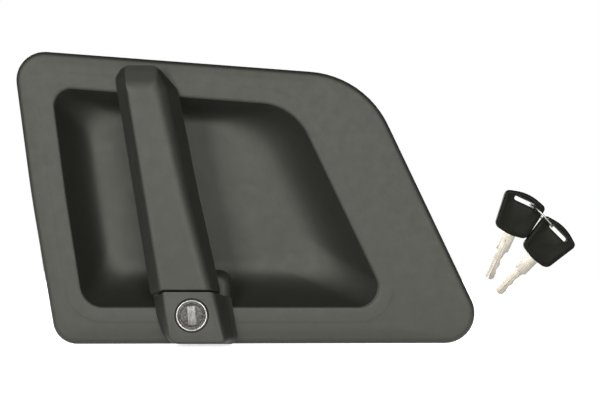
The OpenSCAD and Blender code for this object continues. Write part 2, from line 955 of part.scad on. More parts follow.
module key_bow(index) {
    half = key_bow_width / 2;
    shoulder = half - 3.4;
    outline = [[-half, bow_top - 4.5], [0, bow_top], [half, bow_top - 4.5],
               [shoulder, bow_bottom + 2], [0, bow_bottom], [-shoulder, bow_bottom + 2]];
    color([0.13, 0.13, 0.12])
    key_place(index)
        difference() {
            slab(rounded(outline, [3.5, 30, 3.5, 5, 30, 5], small_steps), 0, bow_thickness);
            slab(rounded([[-8, 10.6], [8, 10.6], [8, 7.4], [-8, 7.4]], [1.6, 1.6, 1.6, 1.6], small_steps),
                 -1, bow_thickness + 1);
            translate([-4.4, bow_thickness / 2 - key_thickness / 2, bow_bottom - 1])
                cube([8.8, key_thickness, 13]);
        }
}

module key_blade(index) {
    shank = 3.2;
    tip = bow_bottom - key_blade_length;
    cuts = [0, 0.9, 0.3, 1.2, 0.6];
    pitch = 3.6;
    edge = [for (k = [0:len(cuts) - 1], step = [0.25, 0.75])
        [shank - cuts[k], tip + 3 + (k + step) * pitch]];
    color([0.80, 0.79, 0.72])
    key_place(index)
        slab(
            concat(
                [[-4.4, bow_bottom + 12], [-4.4, bow_bottom - key_shoulder + 1],
                 [-shank, bow_bottom - key_shoulder], [-shank, tip + 2], [-1.6, tip], [1.6, tip]],
                edge,
                [[4.4, bow_bottom - key_shoulder], [4.4, bow_bottom + 12]]
            ),
            bow_thickness / 2 - key_thickness / 2,
            bow_thickness / 2 + key_thickness / 2
        );
}

module key_bow_1() { key_bow(0); }
module key_bow_2() { key_bow(1); }
module key_blade_1() { key_blade(0); }
module key_blade_2() { key_blade(1); }

module key_ring() {
    color([0.70, 0.70, 0.70])
    translate(ring_centre)
        rotate([0, ring_turn, 0])
            wire_turn(ring_radius, 0.7);
}

// Moves the origin from the plate's middle to the middle of the four studs
module placed() {
    translate(-stud_middle)
        children();
}

placed() plate();
placed() pocket_bowl();
placed() lock_block();
placed() plate_gasket();
placed() mounting_studs();
placed() edge_clip();
placed() grip_cover();
placed() grip_back();
placed() grip_arm();
placed() grip_screws();
placed() pivot_pin();
placed() pivot_bushes();
placed() pivot_clips();
placed() grip_spring();
placed() grip_bumpers();
placed() mechanism_bracket();
placed() bracket_screws();
placed() bell_crank();
placed() crank_pin();
placed() crank_spring();
placed() crank_clip();
placed() lock_cover();
placed() cover_screws();
placed() lock_housing();
placed() lock_bezel();
placed() lock_nut();
placed() lock_face();
placed() lock_shutter();
placed() lock_plug();
placed() lock_wafers();
placed() lock_clip();
placed() lock_lever();
placed() lock_lever_nut();
placed() key_bow_1();
placed() key_blade_1();
placed() key_bow_2();
placed() key_blade_2();
placed() key_ring();
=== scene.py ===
"""Looks of the truck door handle: smooth mouldings, lock, keys and springs around the CAD frame."""
import math

import bmesh
import bpy
from mathutils import Matrix, Vector


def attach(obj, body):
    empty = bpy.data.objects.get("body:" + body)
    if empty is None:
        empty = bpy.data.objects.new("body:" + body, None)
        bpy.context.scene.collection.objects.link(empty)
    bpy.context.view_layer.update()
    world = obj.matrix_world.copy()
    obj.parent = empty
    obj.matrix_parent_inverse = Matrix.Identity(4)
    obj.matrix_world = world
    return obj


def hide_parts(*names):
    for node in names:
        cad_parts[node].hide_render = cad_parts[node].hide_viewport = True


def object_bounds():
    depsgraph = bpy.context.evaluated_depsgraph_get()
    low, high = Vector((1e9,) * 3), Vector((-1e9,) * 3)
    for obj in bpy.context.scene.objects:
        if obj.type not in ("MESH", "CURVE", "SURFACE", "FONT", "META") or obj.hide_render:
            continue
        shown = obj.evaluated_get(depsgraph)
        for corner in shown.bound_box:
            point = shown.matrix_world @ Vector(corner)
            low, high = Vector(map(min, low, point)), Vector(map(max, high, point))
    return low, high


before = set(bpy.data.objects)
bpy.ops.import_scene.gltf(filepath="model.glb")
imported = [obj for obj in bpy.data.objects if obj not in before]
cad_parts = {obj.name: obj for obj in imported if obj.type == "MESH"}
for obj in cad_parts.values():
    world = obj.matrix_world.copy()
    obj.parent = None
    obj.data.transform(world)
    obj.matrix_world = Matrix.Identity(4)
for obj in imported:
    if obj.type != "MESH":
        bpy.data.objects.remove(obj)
cad_low, cad_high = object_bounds()

MM = 0.001

# The frame's origin in the coordinates below, which start at the middle of the plate
ORIGIN = (-69.0, 0.0, -2.5)

# ---- Sizes shared with the CAD model, in millimetres ---------------------------------------

PLATE_CORNERS = [(-164.4, 105.1), (83.6, 86.4), (173.1, -101.5), (-132.9, -102.2), (-150.65, 1.45)]
PLATE_RADII = [20, 66, 21, 17, 900]
PLATE_FRONT = -8.0
BORDER_FALL = 1.0
BAND_WIDTH = 10.0
WALL = 3.0
SKIN_BACK = -4.0

POCKET_CORNERS = [(-136.1, 78.2), (33.9, 65.2), (101.4, -76.0), (-113.6, -76.0), (-125.85, 1.1)]
POCKET_RADII = [12, 40, 14, 16, 900]
POCKET_RUNS = [18, 46, 34, 26, 26]
POCKET_DEPTH = 38.0

PEDESTAL = [(-69, -51.5), (-11.6, -51.5), (-9, -80), (-63.5, -80)]
PEDESTAL_RADII = [10, 10, 6, 6]
PEDESTAL_FRONT = -6.0
TOWER_RADIUS = 15.0
TOWER_END = 12.0

GRIP_LEAN = 11.9
PIVOT = Vector((-72, 9, 86))
GRIP_REAR = -10.6
GRIP_FRONT = -30.0

LOCK_X, LOCK_Z = -36.2, -80.2
LOCK_RADIUS = 10.9

STUD_POINTS = [(-122, 84), (-16, 84), (-122, -89), (-16, -89), (100, 12), (100, -89)]
BRACKET_BOSSES = [(13, -29), (34, -27)]

KEY_PLACES = [((191.8, -10.4), 25, 8.0), ((212.6, -30.4), 45, 8.6)]
BOW_THICKNESS = 7.0
BLADE_THICKNESS = 2.4


# ---- Plane geometry ------------------------------------------------------------------------

def corner_arc(before, here, after, radius, steps):
    """Points of a rounded corner."""
    u = (before - here).normalized()
    w = (after - here).normalized()
    half = math.acos(max(-1, min(1, u.dot(w)))) / 2
    centre = here + (u + w).normalized() * (radius / math.sin(half))
    first = here + u * (radius / math.tan(half)) - centre
    last = here + w * (radius / math.tan(half)) - centre
    start = math.atan2(first.y, first.x)
    sweep = math.atan2(last.y, last.x) - start
    sweep = (sweep + math.pi) % (2 * math.pi) - math.pi
    angles = [start + sweep * i / steps for i in range(steps + 1)]
    return [centre + radius * Vector((math.cos(a), math.sin(a))) for a in angles]


def rounded(corners, radii, steps=12, between=6):
    """Outline with round corners and extra points along its straight stretches."""
    points = [Vector(c) for c in corners]
    count = len(points)
    outline = []
    for k in range(count):
        arc = corner_arc(points[k - 1], points[k], points[(k + 1) % count], radii[k], steps)
        if outline:
            outline += stretch(outline[-1], arc[0], between)
        outline += arc
    return outline + stretch(outline[-1], outline[0], between)


def stretch(a, b, between):
    """Points strictly between a and b."""
    return [a.lerp(b, (i + 1) / (between + 1)) for i in range(between)]


def inset(corners, runs):
    """Corners of a clockwise polygon whose edge k moves inwards by runs[k]."""
    points = [Vector(c) for c in corners]
    count = len(points)
    runs = list(runs) if hasattr(runs, "__len__") else [runs] * count
    moved = []
    for k in range(count):
        before = (points[k] - points[k - 1]).normalized()
        after = (points[(k + 1) % count] - points[k]).normalized()
        n1, n2 = Vector((before.y, -before.x)), Vector((after.y, -after.x))
        d1, d2 = runs[k - 1], runs[k]
        det = n1.x * n2.y - n1.y * n2.x
        moved.append(points[k] + Vector((d1 * n2.y - d2 * n1.y, d2 * n1.x - d1 * n2.x)) / det)
    return moved


def grown(radii, amount):
    """Corner radii changed by amount, but never sharp."""
    least = 0.6
    return [max(r + amount, least) for r in radii]


def full_turn(sides):
    """Evenly spaced angles around a circle."""
    return [2 * math.pi * i / sides for i in range(sides)]


def rounding(edge, steps):
    """Quarter circle of an edge as pairs of inset and drop, from the end face to the side."""
    turns = [math.radians(90) * i / steps for i in range(steps + 1)]
    return [(edge * (1 - math.sin(t)), edge * (1 - math.cos(t))) for t in turns]


# ---- Mesh building -------------------------------------------------------------------------

def ring_at(outline, y):
    """An outline in X and Z as points at depth y."""
    return [Vector((p.x, y, p.y)) for p in outline]


def new_object(name, mesh):
    obj = bpy.data.objects.new(name, mesh)
    bpy.context.scene.collection.objects.link(obj)
    return obj


def mesh_object(name, bm, sharp=32):
    """Object from a bmesh in millimetres, shaded smooth but for edges sharper than sharp degrees."""
    bmesh.ops.recalc_face_normals(bm, faces=bm.faces)
    bmesh.ops.translate(bm, vec=[-c for c in ORIGIN], verts=bm.verts)
    bmesh.ops.scale(bm, vec=(MM, MM, MM), verts=bm.verts)
    mark_sharp(bm, sharp)
    mesh = bpy.data.meshes.new(name)
    bm.to_mesh(mesh)
    bm.free()
    return new_object(name, mesh)


def mark_sharp(bm, sharp):
    for face in bm.faces:
        face.smooth = True
    for edge in bm.edges:
        if len(edge.link_faces) == 2 and edge.calc_face_angle(0) > math.radians(sharp):
            edge.smooth = False


def loft(bm, rings, close_ends=True):
    """Skin of quads through rings of equal point counts."""
    rows = [[bm.verts.new(p) for p in ring] for ring in rings]
    count = len(rows[0])
    for low, high in zip(rows, rows[1:]):
        for j in range(count):
            bm.faces.new((low[j], low[(j + 1) % count], high[(j + 1) % count], high[j]))
    if close_ends:
        bm.faces.new(list(reversed(rows[0])))
        bm.faces.new(rows[-1])
    return rows


def round_prism(bm, outline_at, y0, y1, edge, steps=3):
    """Prism along Y with rounded end edges; outline_at(inset) gives its outline."""
    end = rounding(edge, steps)
    lower = [(run, y0 + drop) for run, drop in end]
    upper = [(run, y1 - drop) for run, drop in reversed(end)]
    loft(bm, [ring_at(outline_at(run), y) for run, y in lower + upper])


def round_rod(bm, x, z, radius, y0, y1, edge):
    """Cylinder along Y with rounded end edges."""
    sides = 48

    def circle(run):
        return [Vector((x + (radius - run) * math.sin(t), z + (radius - run) * math.cos(t)))
                for t in full_turn(sides)]
    round_prism(bm, circle, y0, y1, edge, 2)


def lathe(bm, x, z, profile, sides=96):
    """Surface of revolution around an axis along Y; profile is a closed loop of (radius, y)."""
    rows = []
    for i in range(sides):
        t = 2 * math.pi * i / sides
        rows.append([bm.verts.new((x + r * math.sin(t), y, z + r * math.cos(t))) for r, y in profile])
    count = len(profile)
    for i in range(sides):
        here, there = rows[i], rows[(i + 1) % sides]
        for j in range(count):
            bm.faces.new((here[j], here[(j + 1) % count], there[(j + 1) % count], there[j]))


def box_between(bm, low, high, edge):
    """Box with bevelled edges."""
    low, high = Vector(low), Vector(high)
    size = high - low
    place = Matrix.Translation((low + high) / 2) @ Matrix.Diagonal((*size, 1))
    made = bmesh.ops.create_cube(bm, size=1, matrix=place)["verts"]
    edges = {e for v in made for e in v.link_edges}
    bmesh.ops.bevel(bm, geom=list(edges), offset=edge, segments=2, affect="EDGES", profile=0.5)


def tube(name, points, radius):
    """Mesh tube of the given radius along points in millimetres."""
    sides = 12
    bm = bmesh.new()
    rings = []
    side = None
    for i, p in enumerate(points):
        along = (points[min(i + 1, len(points) - 1)] - points[max(i - 1, 0)]).normalized()
        if side is None:
            side = along.orthogonal().normalized()
        side = (side - along * side.dot(along)).normalized()
        up = along.cross(side)
        rings.append([p + radius * (math.cos(t) * side + math.sin(t) * up) for t in full_turn(sides)])
    loft(bm, rings)
    return mesh_object(name, bm, 60)


def cut(obj, *cutters):
    """Subtracts the cutters from obj and removes them."""
    for cutter in cutters:
        modifier = obj.modifiers.new("cut", "BOOLEAN")
        modifier.operation = "DIFFERENCE"
        modifier.solver = "EXACT"
        modifier.object = cutter
    depsgraph = bpy.context.evaluated_depsgraph_get()
    made = bpy.data.meshes.new_from_object(obj.evaluated_get(depsgraph))
    obj.modifiers.clear()
    obj.data = made
    bm = bmesh.new()
    bm.from_mesh(made)
    mark_sharp(bm, 32)
    bm.to_mesh(made)
    bm.free()
    for cutter in cutters:
        bpy.data.objects.remove(cutter)
    return obj


def leaned(point):
    """A point of the grip's own frame, whose Z runs up the grip, in the plate's coordinates."""
    return PIVOT + Matrix.Rotation(math.radians(-GRIP_LEAN), 3, "Y") @ Vector(point)


def lean_all(bm):
    """Moves a mesh made in the grip's own frame to the plate's coordinates."""
    turn = Matrix.Translation(PIVOT) @ Matrix.Rotation(math.radians(-GRIP_LEAN), 4, "Y")
    bmesh.ops.transform(bm, matrix=turn, verts=bm.verts)


def dress(obj, body, material, slot, *nodes):
    """Gives a finished piece its material and body, and hides the CAD nodes it stands for; slot is not
    used.
    """
    obj.data.materials.clear()
    obj.data.materials.append(material)
    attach(obj, body)
    if nodes:
        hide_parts(*nodes)
    return obj


# ---- Materials -----------------------------------------------------------------------------

def new_material(name):
    material = bpy.data.materials.new(name)
    material.use_nodes = True
    nodes, links = material.node_tree.nodes, material.node_tree.links
    return material, nodes, links, nodes["Principled BSDF"]


def noise(nodes, links, place, scale, detail, roughness=0.5):
    node = nodes.new("ShaderNodeTexNoise")
    node.inputs["Scale"].default_value = scale
    node.inputs["Detail"].default_value = detail
    node.inputs["Roughness"].default_value = roughness
    links.new(place, node.inputs["Vector"])
    return node.outputs["Fac"]


def ramp(nodes, links, value, stops):
    """Colour ramp; stops are (position, colour) pairs, a colour being a grey or three numbers."""
    node = nodes.new("ShaderNodeValToRGB")
    elements = node.color_ramp.elements
    while len(elements) < len(stops):
        elements.new(0.5)
    for element, (position, colour) in zip(elements, stops):
        element.position = position
        colour = (colour,) * 3 if isinstance(colour, (int, float)) else colour
        element.color = (*colour, 1)
    links.new(value, node.inputs["Fac"])
    return node.outputs["Color"]


def place_of(nodes):
    return nodes.new("ShaderNodeTexCoord").outputs["Object"]


def add_bump(nodes, links, shader, layers):
    """Chains bump nodes; layers are (height, strength, distance in metres)."""
    normal = None
    for height, strength, distance in layers:
        node = nodes.new("ShaderNodeBump")
        node.inputs["Strength"].default_value = strength
        node.inputs["Distance"].default_value = distance
        links.new(height, node.inputs["Height"])
        if normal is not None:
            links.new(normal, node.inputs["Normal"])
        normal = node.outputs["Normal"]
    links.new(normal, shader.inputs["Normal"])


def painted_edge_highlight(nodes, links):
    """Grey value that rises on convex edges: the mask of a painted highlight."""
    highlight_from, highlight_to = 0.52, 0.62
    geometry = nodes.new("ShaderNodeNewGeometry")
    return ramp(nodes, links, geometry.outputs["Pointiness"], [(highlight_from, 0.0), (highlight_to, 1.0)])


def mix_colour(nodes, links, factor, a, b):
    node = nodes.new("ShaderNodeMix")
    node.data_type = "RGBA"
    links.new(factor, node.inputs["Factor"])
    for socket, value in ((node.inputs[6], a), (node.inputs[7], b)):
        if isinstance(value, tuple):
            socket.default_value = (*value, 1)
        else:
            links.new(value, socket)
    return node.outputs[2]


def moulded_plastic(name, dark, light, highlight_colour, rough=0.60, gloss=0.5):
    """Grained moulding: fine leather-like grain, soft clouding and a painted highlight on convex edges."""
    grain = 0.000035
    material, nodes, links, shader = new_material(name)
    place = place_of(nodes)
    clouds = noise(nodes, links, place, 260, 5, 0.6)
    base = ramp(nodes, links, clouds, [(0.32, dark), (0.68, light)])
    # Convex edges are painted in the paler third colour: a painted edge highlight.
    edge_highlight_mask = painted_edge_highlight(nodes, links)
    colour = mix_colour(nodes, links, edge_highlight_mask, base, highlight_colour)
    links.new(colour, shader.inputs["Base Color"])
    patches = noise(nodes, links, place, 120, 5, 0.65)
    roughness = ramp(nodes, links, patches, [(0.3, rough - 0.03), (0.7, rough + 0.03)])
    links.new(roughness, shader.inputs["Roughness"])
    cells = nodes.new("ShaderNodeTexVoronoi")
    cells.feature = "SMOOTH_F1"
    cells.inputs["Scale"].default_value = 1500
    links.new(place, cells.inputs["Vector"])
    pits = noise(nodes, links, place, 2600, 2)
    add_bump(nodes, links, shader, [
        (cells.outputs["Distance"], 0.35, grain),
        (pits, 0.25, grain),
    ])
    shader.inputs["IOR"].default_value = 1.5
    shader.inputs["Specular IOR Level"].default_value = gloss
    shader.inputs["Specular Tint"].default_value = (1, 0.99, 0.90, 1)
    return material


def worn_metal(name, dark, light, rough, scratch, speckle, stretch_z=1.0):
    """Metal with fine scratches, mottling and uneven polish."""
    material, nodes, links, shader = new_material(name)
    place = place_of(nodes)
    mapping = nodes.new("ShaderNodeMapping")
    mapping.inputs["Scale"].default_value = (1, 1, stretch_z)
    links.new(place, mapping.inputs["Vector"])
    mottle = noise(nodes, links, mapping.outputs["Vector"], speckle, 5, 0.6)
    links.new(ramp(nodes, links, mottle, [(0.35, dark), (0.65, light)]), shader.inputs["Base Color"])
    clouds = noise(nodes, links, place, 180, 3, 0.5)
    polish = ramp(nodes, links, clouds, [(0.3, rough * 0.8), (0.7, rough * 1.2)])
    links.new(polish, shader.inputs["Roughness"])
    add_bump(nodes, links, shader, [(mottle, scratch, 0.00003), (clouds, scratch * 0.5, 0.00006)])
    shader.inputs["Metallic"].default_value = 1.0
    return material


def soft_rubber(name, dark, light, rough, cell, depth):
    """Foam or rubber with open pores or fine dust."""
    material, nodes, links, shader = new_material(name)
    place = place_of(nodes)
    pores = noise(nodes, links, place, cell, 3, 0.6)
    links.new(ramp(nodes, links, pores, [(0.35, dark), (0.65, light)]), shader.inputs["Base Color"])
    roughness = ramp(nodes, links, pores, [(0.3, rough - 0.05), (0.7, rough + 0.05)])
    links.new(roughness, shader.inputs["Roughness"])
    add_bump(nodes, links, shader, [(pores, 0.6, depth)])
    return material


# The third colour of each moulding is the painted highlight on its convex edges.
GREY = moulded_plastic("grey_moulding", (0.0085, 0.0088, 0.0068), (0.0110, 0.0113, 0.0090),
                       (0.026, 0.0265, 0.023))
BLACK = moulded_plastic("black_moulding", (0.012, 0.012, 0.012), (0.018, 0.018, 0.018),
                        (0.035, 0.035, 0.035), 0.5)
KEY_BLACK = moulded_plastic("key_black", (0.0025, 0.0026, 0.0020), (0.0045, 0.0047, 0.0037),
                            (0.014, 0.014, 0.012), 0.5, gloss=0.06)
FOAM = soft_rubber("foam", (0.010, 0.010, 0.010), (0.030, 0.030, 0.030), 0.92, 1400, 0.0002)
RUBBER = soft_rubber("black_rubber", (0.010, 0.010, 0.010), (0.020, 0.020, 0.019), 0.68, 500, 0.00005)
ZINC_PLATED = worn_metal("zinc_plated_steel", (0.46, 0.45, 0.41), (0.60, 0.59, 0.54), 0.36, 0.3, 700)
SPRING_STEEL = worn_metal("spring_steel", (0.14, 0.14, 0.145), (0.24, 0.24, 0.25), 0.38, 0.35, 900)
CAST_ZINC = worn_metal("cast_zinc", (0.26, 0.26, 0.255), (0.36, 0.36, 0.35), 0.52, 0.5, 500)
BRIGHT = worn_metal("bright_ring", (0.20, 0.20, 0.185), (0.32, 0.32, 0.295), 0.36, 0.2, 800)
FACE_METAL = worn_metal("lock_face_metal", (0.016, 0.0156, 0.0145), (0.095, 0.092, 0.086), 0.50, 0.6, 900)
SHUTTER_STEEL = worn_metal("shutter_steel", (0.13, 0.127, 0.12), (0.25, 0.246, 0.235), 0.46, 0.4, 900,
                           stretch_z=0.08)
BRASS = worn_metal("plug_brass", (0.56, 0.40, 0.16), (0.68, 0.52, 0.25), 0.32, 0.3, 700)
NICKEL = worn_metal("key_nickel", (0.22, 0.205, 0.17), (0.29, 0.27, 0.23), 0.45, 0.12, 300)
WIRE = worn_metal("ring_wire", (0.30, 0.29, 0.27), (0.42, 0.41, 0.39), 0.38, 0.1, 300)
BUSH = soft_rubber("bush_polymer", (0.60, 0.57, 0.46), (0.68, 0.65, 0.54), 0.45, 300, 0.00003)


# ---- Plate with its pocket -----------------------------------------------------------------

def pocket_ring(share, skin):
    """Ring of the pocket's surface: share 0 at the lip and 1 at the floor, grown outwards by skin."""
    runs = [run * share - skin for run in POCKET_RUNS]
    depth = 1 - (1 - share) ** 3
    outline = rounded(inset(POCKET_CORNERS, runs), grown(POCKET_RADII, skin + 6 * share))
    lip = PLATE_FRONT + (1 if skin else 0)
    return ring_at(outline, lip + (POCKET_DEPTH + (skin - 1 if skin else 0)) * depth)


def plate_ring(run, y):
    return ring_at(rounded(inset(PLATE_CORNERS, run), grown(PLATE_RADII, -run)), y)


def band_ring(out, y):
    return ring_at(rounded(inset(POCKET_CORNERS, -out), grown(POCKET_RADII, out)), y)


def border_rings(count):
    """Rings between the flat band's crease and the rounded outer edge."""
    step = 0.16
    inner = band_ring(BAND_WIDTH + 1.3, PLATE_FRONT + step)
    outer = plate_ring(4.6, PLATE_FRONT + BORDER_FALL)
    rings = []
    for i in range(count + 1):
        t = i / count
        ring = [a.lerp(b, t) for a, b in zip(inner, outer)]
        for p in ring:
            p.y = PLATE_FRONT + step + (BORDER_FALL - step) * t * t
        rings.append(ring)
    return rings


def housing_shell():
    """One closed skin: pocket floor, lip, band, border, rounded rim, and back to the bowl's outside."""
    shares = [i / 28 for i in range(28, 0, -1)] + [0.018, 0.008]
    rings = [pocket_ring(s, 0) for s in shares]
    lip = [(-0.15, 0.75), (0.35, 0.35), (1.0, 0.1), (1.9, 0.0)]
    rings += [band_ring(out, PLATE_FRONT + drop) for out, drop in lip]
    crease = [(BAND_WIDTH - 0.4, 0.0), (BAND_WIDTH + 0.2, 0.03), (BAND_WIDTH + 0.8, 0.12)]
    rings += [band_ring(out, PLATE_FRONT + drop) for out, drop in crease]
    rings += border_rings(6)
    edge = 4.0
    front = PLATE_FRONT + BORDER_FALL
    rings += [plate_ring(run, front + drop) for run, drop in rounding(edge, 6)[1:]]
    rim = [(0, -0.5), (0.15, -0.15), (0.5, 0), (WALL - 0.4, 0), (WALL, -0.4)]
    rings += [plate_ring(run, y) for run, y in rim]
    rings += [plate_ring(WALL, SKIN_BACK + 0.6), plate_ring(WALL + 0.6, SKIN_BACK)]
    rings.append(band_ring(WALL + 1.0, SKIN_BACK))
    outer_shares = [0.03 + 0.97 * i / 20 for i in range(21)]
    rings += [pocket_ring(s, WALL) for s in outer_shares]
    bm = bmesh.new()
    loft(bm, rings)
    return mesh_object("housing_shell", bm, 40)


def pedestal_outline(run):
    return rounded(inset(PEDESTAL, run), grown(PEDESTAL_RADII, -run), 8, 2)


def arm_slot_cutter():
    bm = bmesh.new()
    box_between(bm, (-7, -19, -9.6), (7, -8, 3.4), 0.5)
    lean_all(bm)
    return mesh_object("arm_slot_cutter", bm)


def pedestal_room_cutter():
    bm = bmesh.new()
    round_prism(bm, lambda run: pedestal_outline(WALL + run), PEDESTAL_FRONT + WALL, 40, 0.5)
    return mesh_object("pedestal_room_cutter", bm)


def pedestal_piece():
    """Hollow block that backs the grip's lower end, open towards the door."""
    back = PLATE_FRONT + POCKET_DEPTH + WALL
    edge = 6.5
    rings = [ring_at(pedestal_outline(run), PEDESTAL_FRONT + drop) for run, drop in rounding(edge, 6)]
    rings += [ring_at(pedestal_outline(0), back), ring_at(pedestal_outline(WALL), back)]
    rings += [ring_at(pedestal_outline(WALL), PEDESTAL_FRONT + WALL)]
    bm = bmesh.new()
    loft(bm, rings)
    return mesh_object("pedestal", bm)


def tower_piece():
    """Round tower around the lock."""
    bore = 10.6
    front = PLATE_FRONT + 2
    profile = [(bore, front), (TOWER_RADIUS, front), (TOWER_RADIUS, TOWER_END - 0.5),
               (TOWER_RADIUS - 0.5, TOWER_END), (bore + 0.4, TOWER_END), (bore, TOWER_END - 0.4)]
    bm = bmesh.new()
    lathe(bm, LOCK_X, LOCK_Z, profile)
    return mesh_object("lock_tower", bm)


def crossings(outline, axis, at):
    """Where an outline crosses a line of constant X (axis 0) or Z (axis 1), in order."""
    other = 1 - axis
    hits = []
    for a, b in zip(outline, outline[1:] + outline[:1]):
        if (a[axis] - at) * (b[axis] - at) < 0:
            t = (at - a[axis]) / (b[axis] - a[axis])
            hits.append(a[other] + t * (b[other] - a[other]))
    return sorted(hits)


def ribs_piece():
    """Stiffening ribs on the back of the plate, from its rim to the bowl."""
    rim = rounded(inset(PLATE_CORNERS, WALL - 0.5), grown(PLATE_RADII, -WALL))
    bowl = rounded(inset(POCKET_CORNERS, -WALL + 0.5), grown(POCKET_RADII, WALL))
    half, top = 0.9, -1.2
    bm = bmesh.new()
    for axis, stations in ((0, range(-110, 145, 32)), (1, (-60, -20, 20, 60))):
        for at in stations:
            ends = crossings(rim, axis, at + half)
            if len(ends) < 2:
                continue
            gap = crossings(bowl, axis, at + half)
            spans = [(ends[0], gap[0]), (gap[-1], ends[-1])] if gap else [(ends[0], ends[-1])]
            for a, b in spans:
                low, high = [at, SKIN_BACK - 0.5, a], [at + 2 * half, top, b]
                if axis == 1:
                    low, high = [a, SKIN_BACK - 0.5, at], [b, top, at + 2 * half]
                box_between(bm, low, high, 0.3)
    return mesh_object("plate_ribs", bm)


def stud_bosses_piece():
    bm = bmesh.new()
    for x, z in STUD_POINTS:
        round_rod(bm, x, z, 5.5, SKIN_BACK - 0.5, -0.7, 0.5)
    return mesh_object("stud_bosses", bm)


def bracket_bosses_piece():
    """Two bosses for the bracket's screws, ending on the bowl's outside."""
    bm = bmesh.new()
    for x, z in BRACKET_BOSSES:
        p = leaned((x, 0, z))
        round_rod(bm, p.x, p.z, 5, 18, PLATE_FRONT + POCKET_DEPTH + 2 * WALL, 0.5)
    bosses = mesh_object("bracket_bosses", bm)
    bm = bmesh.new()
    loft(bm, [pocket_ring(i / 14, 1.0) for i in range(14, -1, -1)])
    return cut(bosses, mesh_object("bowl_cutter", bm))


def lugs_piece():
    """The two ears that hold the grip's hinge pin."""
    radius, foot, steps = 5.5, -14.5, 16
    turns = [math.pi * i / steps for i in range(steps + 1)]
    arc = [(radius * math.sin(t), radius * math.cos(t)) for t in turns]
    outline = [(foot, radius)] + arc + [(foot, -radius)]
    bm = bmesh.new()
    for x0 in (-17, 13):
        rings = []
        for inset_x, shrink in ((0, 0.4), (0.4, 0), (3.6, 0), (4, 0.4)):
            scale = 1 - shrink / 8
            rings.append([Vector((x0 + inset_x, y * scale, z * scale)) for y, z in outline])
        loft(bm, rings)
    lean_all(bm)
    return mesh_object("hinge_lugs", bm)


shell = cut(housing_shell(), arm_slot_cutter(), pedestal_room_cutter())
dress(shell, "root", GREY, "grey_moulding", "plate", "pocket_bowl")
dress(pedestal_piece(), "root", GREY, "grey_moulding", "lock_block")
dress(tower_piece(), "root", GREY, "grey_moulding", "lock_block")
for piece in (ribs_piece(), stud_bosses_piece(), lugs_piece()):
    dress(piece, "root", GREY, "grey_moulding", "plate")
dress(bracket_bosses_piece(), "root", GREY, "grey_moulding", "pocket_bowl")


# ---- Grip ----------------------------------------------------------------------------------

# Outlines in X and Z: the wide back and the narrow face, in matching corner order
GRIP_BACK = [(-86.0, 92.0), (-61.2, 92.0), (-47.0, 76.0), (-33.0, 6.0), (-16.9, -66.7),
             (-66.5, -66.7), (-91.2, 84.0)]
GRIP_FACE = [(-81.6, 77.0), (-61.0, 77.0), (-56.7, 71.0), (-41.4, 6.0), (-22.9, -62.8),
             (-57.9, -62.8), (-81.2, 75.6)]
GRIP_BACK_RADII = [5.5, 9.0, 13.0, 400, 2.0, 2.0, 7.0]
GRIP_FACE_RADII = [1.2, 2.5, 3.0, 400, 1.2, 1.2, 0.9]


def flank_share(height, total, run, radius):
    """How far a flank of this run has come in at a height, with a fillet of this radius at the top."""
    slope = math.atan2(total, run)
    tangent = radius * math.tan(slope / 2)
    knee = total - tangent * math.sin(slope)
    if height <= knee:
        return height / total
    lift = max(radius ** 2 - (height - (total - radius)) ** 2, 0)
    return (run + tangent - math.sqrt(lift)) / run


def flank_move(height, total, run, radius):
    """A flank's share from back to face, up to 1, and how far its fillet runs on past the face's edge."""
    share = flank_share(height, total, run, radius)
    return min(share, 1), run * max(share - 1, 0)


def grip_outline(height):
    """The grip's outline at a height above its back."""
    total = GRIP_REAR - GRIP_FRONT
    left, left_past = flank_move(height, total, 8.8, 3.0)
    right, right_past = flank_move(height, total, 8.0, 9.0)
    low = flank_share(height, total, 3.9, 1.0)
    end_wall = 13.0
    cap, cap_past = flank_move(max(height - end_wall, 0), total - end_wall, 14.5, 22.0)
    across = [left, right, right, right, right, left, left]
    inward = [left_past] + [-right_past] * 4 + [left_past] * 2
    along = [cap, cap, cap, 0, low, low, cap]
    drops = [cap_past, cap_past, cap_past, 0, 0, 0, cap_past]
    lean = math.tan(math.radians(GRIP_LEAN))
    corners = []
    for back, face, s, slide, t, drop in zip(GRIP_BACK, GRIP_FACE, across, inward, along, drops):
        corners.append((back[0] + (face[0] - back[0]) * s + slide + lean * drop,
                        back[1] + (face[1] - back[1]) * t - drop))
    share = height / total
    radii = [b + (f - b) * share for b, f in zip(GRIP_BACK_RADII, GRIP_FACE_RADII)]
    return corners, radii


def grip_ring(height, skin=0.0):
    """Ring of the grip's shell at a height above its back, moved inwards by skin."""
    corners, radii = grip_outline(height)
    outline = rounded(inset(corners, skin), grown(radii, -skin), 6, 6)
    return ring_at(outline, GRIP_REAR - height)


def grip_shell():
    """The bar's front shell, with a recess at the back for its rear plate."""
    total = GRIP_REAR - GRIP_FRONT
    edge, wall, recess = 0.4, 3.2, 3.6
    rings = [grip_ring(recess, wall), grip_ring(0.3, wall), grip_ring(0, wall - 0.3), grip_ring(0, edge)]
    straight = total * 0.84
    rings += [grip_ring(straight * i / 12 + edge) for i in range(13)]
    start = straight + edge
    rings += [grip_ring(start + (total - start) * math.sin(math.radians(10 * i))) for i in range(1, 10)]
    bm = bmesh.new()
    loft(bm, rings)
    return mesh_object("grip_shell", bm, 38)


dress(grip_shell(), "grip", GREY, "grey_moulding", "grip_cover")


# ---- Head of the lock ----------------------------------------------------------------------

def lock_rings(profile):
    """Rings around the lock's axis, one for each pair of radius and depth."""
    return [[Vector((LOCK_X + r * math.sin(t), y, LOCK_Z + r * math.cos(t))) for t in full_turn(96)]
            for r, y in profile]


